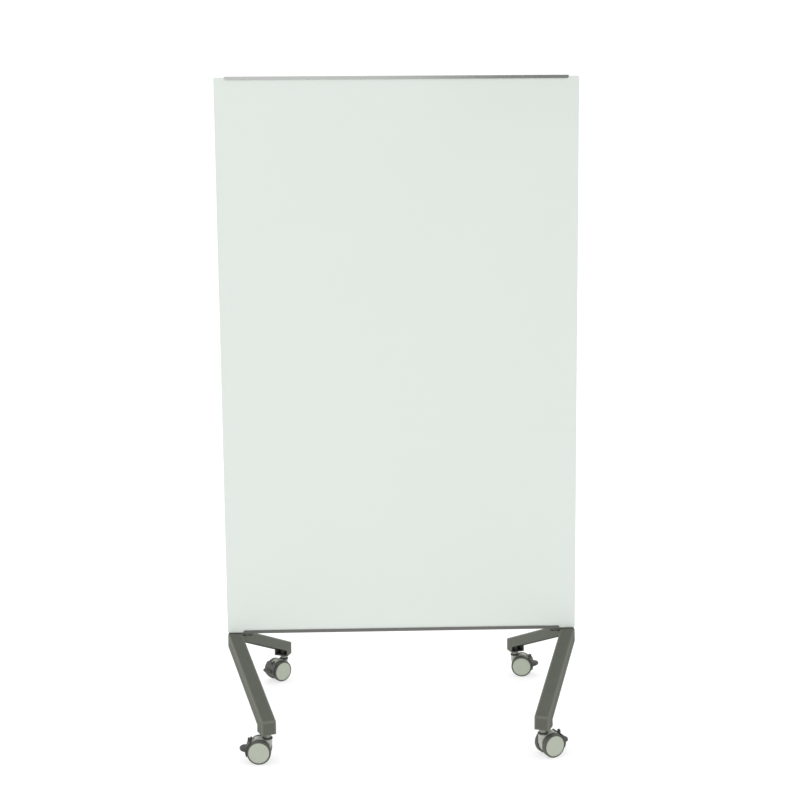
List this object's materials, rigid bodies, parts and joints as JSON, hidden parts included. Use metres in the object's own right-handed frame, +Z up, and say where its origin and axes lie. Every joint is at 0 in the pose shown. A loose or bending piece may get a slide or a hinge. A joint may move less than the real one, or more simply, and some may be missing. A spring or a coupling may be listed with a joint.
{
  "type": "mobile glass whiteboard",
  "caption": "Tall glass writing board between slim edge rails, standing on V-shaped folded steel legs with braked swivel casters.",
  "frame": {"origin": "on the floor, under the middle of the board", "axes": "+Z up, X along the board to the right as seen from the front, the front face looks towards -Y"},
  "size_m": [1.016, 0.7186, 1.8453],
  "materials": {
    "glass": "polished, back-painted white",
    "backing_steel": "zinc plated",
    "core": "paper honeycomb",
    "frame_metal": "mill finish",
    "rail_metal": "satin anodised",
    "dark_rail_metal": "dark anodised",
    "fastener_steel": "zinc plated",
    "socket_steel": "black primer",
    "leg_paint": "satin powder coat",
    "bracket_steel": "satin powder coat",
    "hood_plastic": "moulded",
    "hub_plastic": "moulded",
    "tyre_rubber": "soft tread",
    "dark_plastic": "moulded"
  },
  "bodies": {
    "board": {"front_glass": "glass", "rear_glass": "glass", "front_steel_sheet": "backing_steel", "rear_steel_sheet": "backing_steel", "core_board": "core", "left_upright": "frame_metal", "right_upright": "frame_metal", "top_cross_tube": "frame_metal", "bottom_cross_tube": "frame_metal", "top_rail": "rail_metal", "bottom_rail": "dark_rail_metal", "rail_screws": "fastener_steel", "leg_bolts": "fastener_steel", "front_left_leg": "leg_paint", "rear_left_leg": "leg_paint", "front_right_leg": "leg_paint", "rear_right_leg": "leg_paint", "left_apex_bracket": "bracket_steel", "right_apex_bracket": "bracket_steel", "caster_sockets": "socket_steel", "caster_stems": "fastener_steel"},
    "front_left_swivel": {"front_left_hood": "hood_plastic", "front_left_swivel_ring": "dark_plastic", "front_left_axle": "fastener_steel"},
    "front_left_roll_a": {"front_left_wheel_a": "hub_plastic", "front_left_tyre_a": "tyre_rubber"},
    "front_left_roll_b": {"front_left_wheel_b": "hub_plastic", "front_left_tyre_b": "tyre_rubber"},
    "front_left_brake": {"front_left_brake_pedal": "dark_plastic"},
    "front_right_swivel": {"front_right_hood": "hood_plastic", "front_right_swivel_ring": "dark_plastic", "front_right_axle": "fastener_steel"},
    "front_right_roll_a": {"front_right_wheel_a": "hub_plastic", "front_right_tyre_a": "tyre_rubber"},
    "front_right_roll_b": {"front_right_wheel_b": "hub_plastic", "front_right_tyre_b": "tyre_rubber"},
    "front_right_brake": {"front_right_brake_pedal": "dark_plastic"},
    "rear_left_swivel": {"rear_left_hood": "hood_plastic", "rear_left_swivel_ring": "dark_plastic", "rear_left_axle": "fastener_steel"},
    "rear_left_roll_a": {"rear_left_wheel_a": "hub_plastic", "rear_left_tyre_a": "tyre_rubber"},
    "rear_left_roll_b": {"rear_left_wheel_b": "hub_plastic", "rear_left_tyre_b": "tyre_rubber"},
    "rear_left_brake": {"rear_left_brake_pedal": "dark_plastic"},
    "rear_right_swivel": {"rear_right_hood": "hood_plastic", "rear_right_swivel_ring": "dark_plastic", "rear_right_axle": "fastener_steel"},
    "rear_right_roll_a": {"rear_right_wheel_a": "hub_plastic", "rear_right_tyre_a": "tyre_rubber"},
    "rear_right_roll_b": {"rear_right_wheel_b": "hub_plastic", "rear_right_tyre_b": "tyre_rubber"},
    "rear_right_brake": {"rear_right_brake_pedal": "dark_plastic"}
  },
  "joints": [
    {"name": "front_left_swivel_turn", "type": "hinge", "parent": "board", "child": "front_left_swivel", "pos_m": [-0.372, -0.3315, 0.0635], "axis": [0, 0, 1], "continuous": true},
    {"name": "front_left_roll_a_spin", "type": "hinge", "parent": "front_left_swivel", "child": "front_left_roll_a", "pos_m": [-0.394, -0.3315, 0.0325], "axis": [0, -1, 0], "continuous": true},
    {"name": "front_left_roll_b_spin", "type": "hinge", "parent": "front_left_swivel", "child": "front_left_roll_b", "pos_m": [-0.394, -0.3315, 0.0325], "axis": [0, -1, 0], "continuous": true},
    {"name": "front_left_brake_press", "type": "hinge", "parent": "front_left_swivel", "child": "front_left_brake", "pos_m": [-0.41332, -0.3315, 0.02732], "axis": [0, -1, 0], "range_deg": [0, 10]},
    {"name": "front_right_swivel_turn", "type": "hinge", "parent": "board", "child": "front_right_swivel", "pos_m": [0.372, -0.3315, 0.0635], "axis": [0, 0, 1], "continuous": true},
    {"name": "front_right_roll_a_spin", "type": "hinge", "parent": "front_right_swivel", "child": "front_right_roll_a", "pos_m": [0.3921, -0.32255, 0.0325], "axis": [-0.4067, 0.9135, 0], "continuous": true},
    {"name": "front_right_roll_b_spin", "type": "hinge", "parent": "front_right_swivel", "child": "front_right_roll_b", "pos_m": [0.3921, -0.32255, 0.0325], "axis": [-0.4067, 0.9135, 0], "continuous": true},
    {"name": "front_right_brake_press", "type": "hinge", "parent": "front_right_swivel", "child": "front_right_brake", "pos_m": [0.40975, -0.31469, 0.02732], "axis": [-0.4067, 0.9135, 0], "range_deg": [0, 10]},
    {"name": "rear_left_swivel_turn", "type": "hinge", "parent": "board", "child": "rear_left_swivel", "pos_m": [-0.372, 0.3315, 0.0635], "axis": [0, 0, 1], "continuous": true},
    {"name": "rear_left_roll_a_spin", "type": "hinge", "parent": "rear_left_swivel", "child": "rear_left_roll_a", "pos_m": [-0.38885, 0.31736, 0.0325], "axis": [0.6428, -0.766, 0], "continuous": true},
    {"name": "rear_left_roll_b_spin", "type": "hinge", "parent": "rear_left_swivel", "child": "rear_left_roll_b", "pos_m": [-0.38885, 0.31736, 0.0325], "axis": [0.6428, -0.766, 0], "continuous": true},
    {"name": "rear_left_brake_press", "type": "hinge", "parent": "rear_left_swivel", "child": "rear_left_brake", "pos_m": [-0.40365, 0.30494, 0.02732], "axis": [0.6428, -0.766, 0], "range_deg": [0, 10]},
    {"name": "rear_right_swivel_turn", "type": "hinge", "parent": "board", "child": "rear_right_swivel", "pos_m": [0.372, 0.3315, 0.0635], "axis": [0, 0, 1], "continuous": true},
    {"name": "rear_right_roll_a_spin", "type": "hinge", "parent": "rear_right_swivel", "child": "rear_right_roll_a", "pos_m": [0.39379, 0.32844, 0.0325], "axis": [0.1392, 0.9903, 0], "continuous": true},
    {"name": "rear_right_roll_b_spin", "type": "hinge", "parent": "rear_right_swivel", "child": "rear_right_roll_b", "pos_m": [0.39379, 0.32844, 0.0325], "axis": [0.1392, 0.9903, 0], "continuous": true},
    {"name": "rear_right_brake_press", "type": "hinge", "parent": "rear_right_swivel", "child": "rear_right_brake", "pos_m": [0.41292, 0.32575, 0.02732], "axis": [0.1392, 0.9903, 0], "range_deg": [0, 10]}
  ]
}
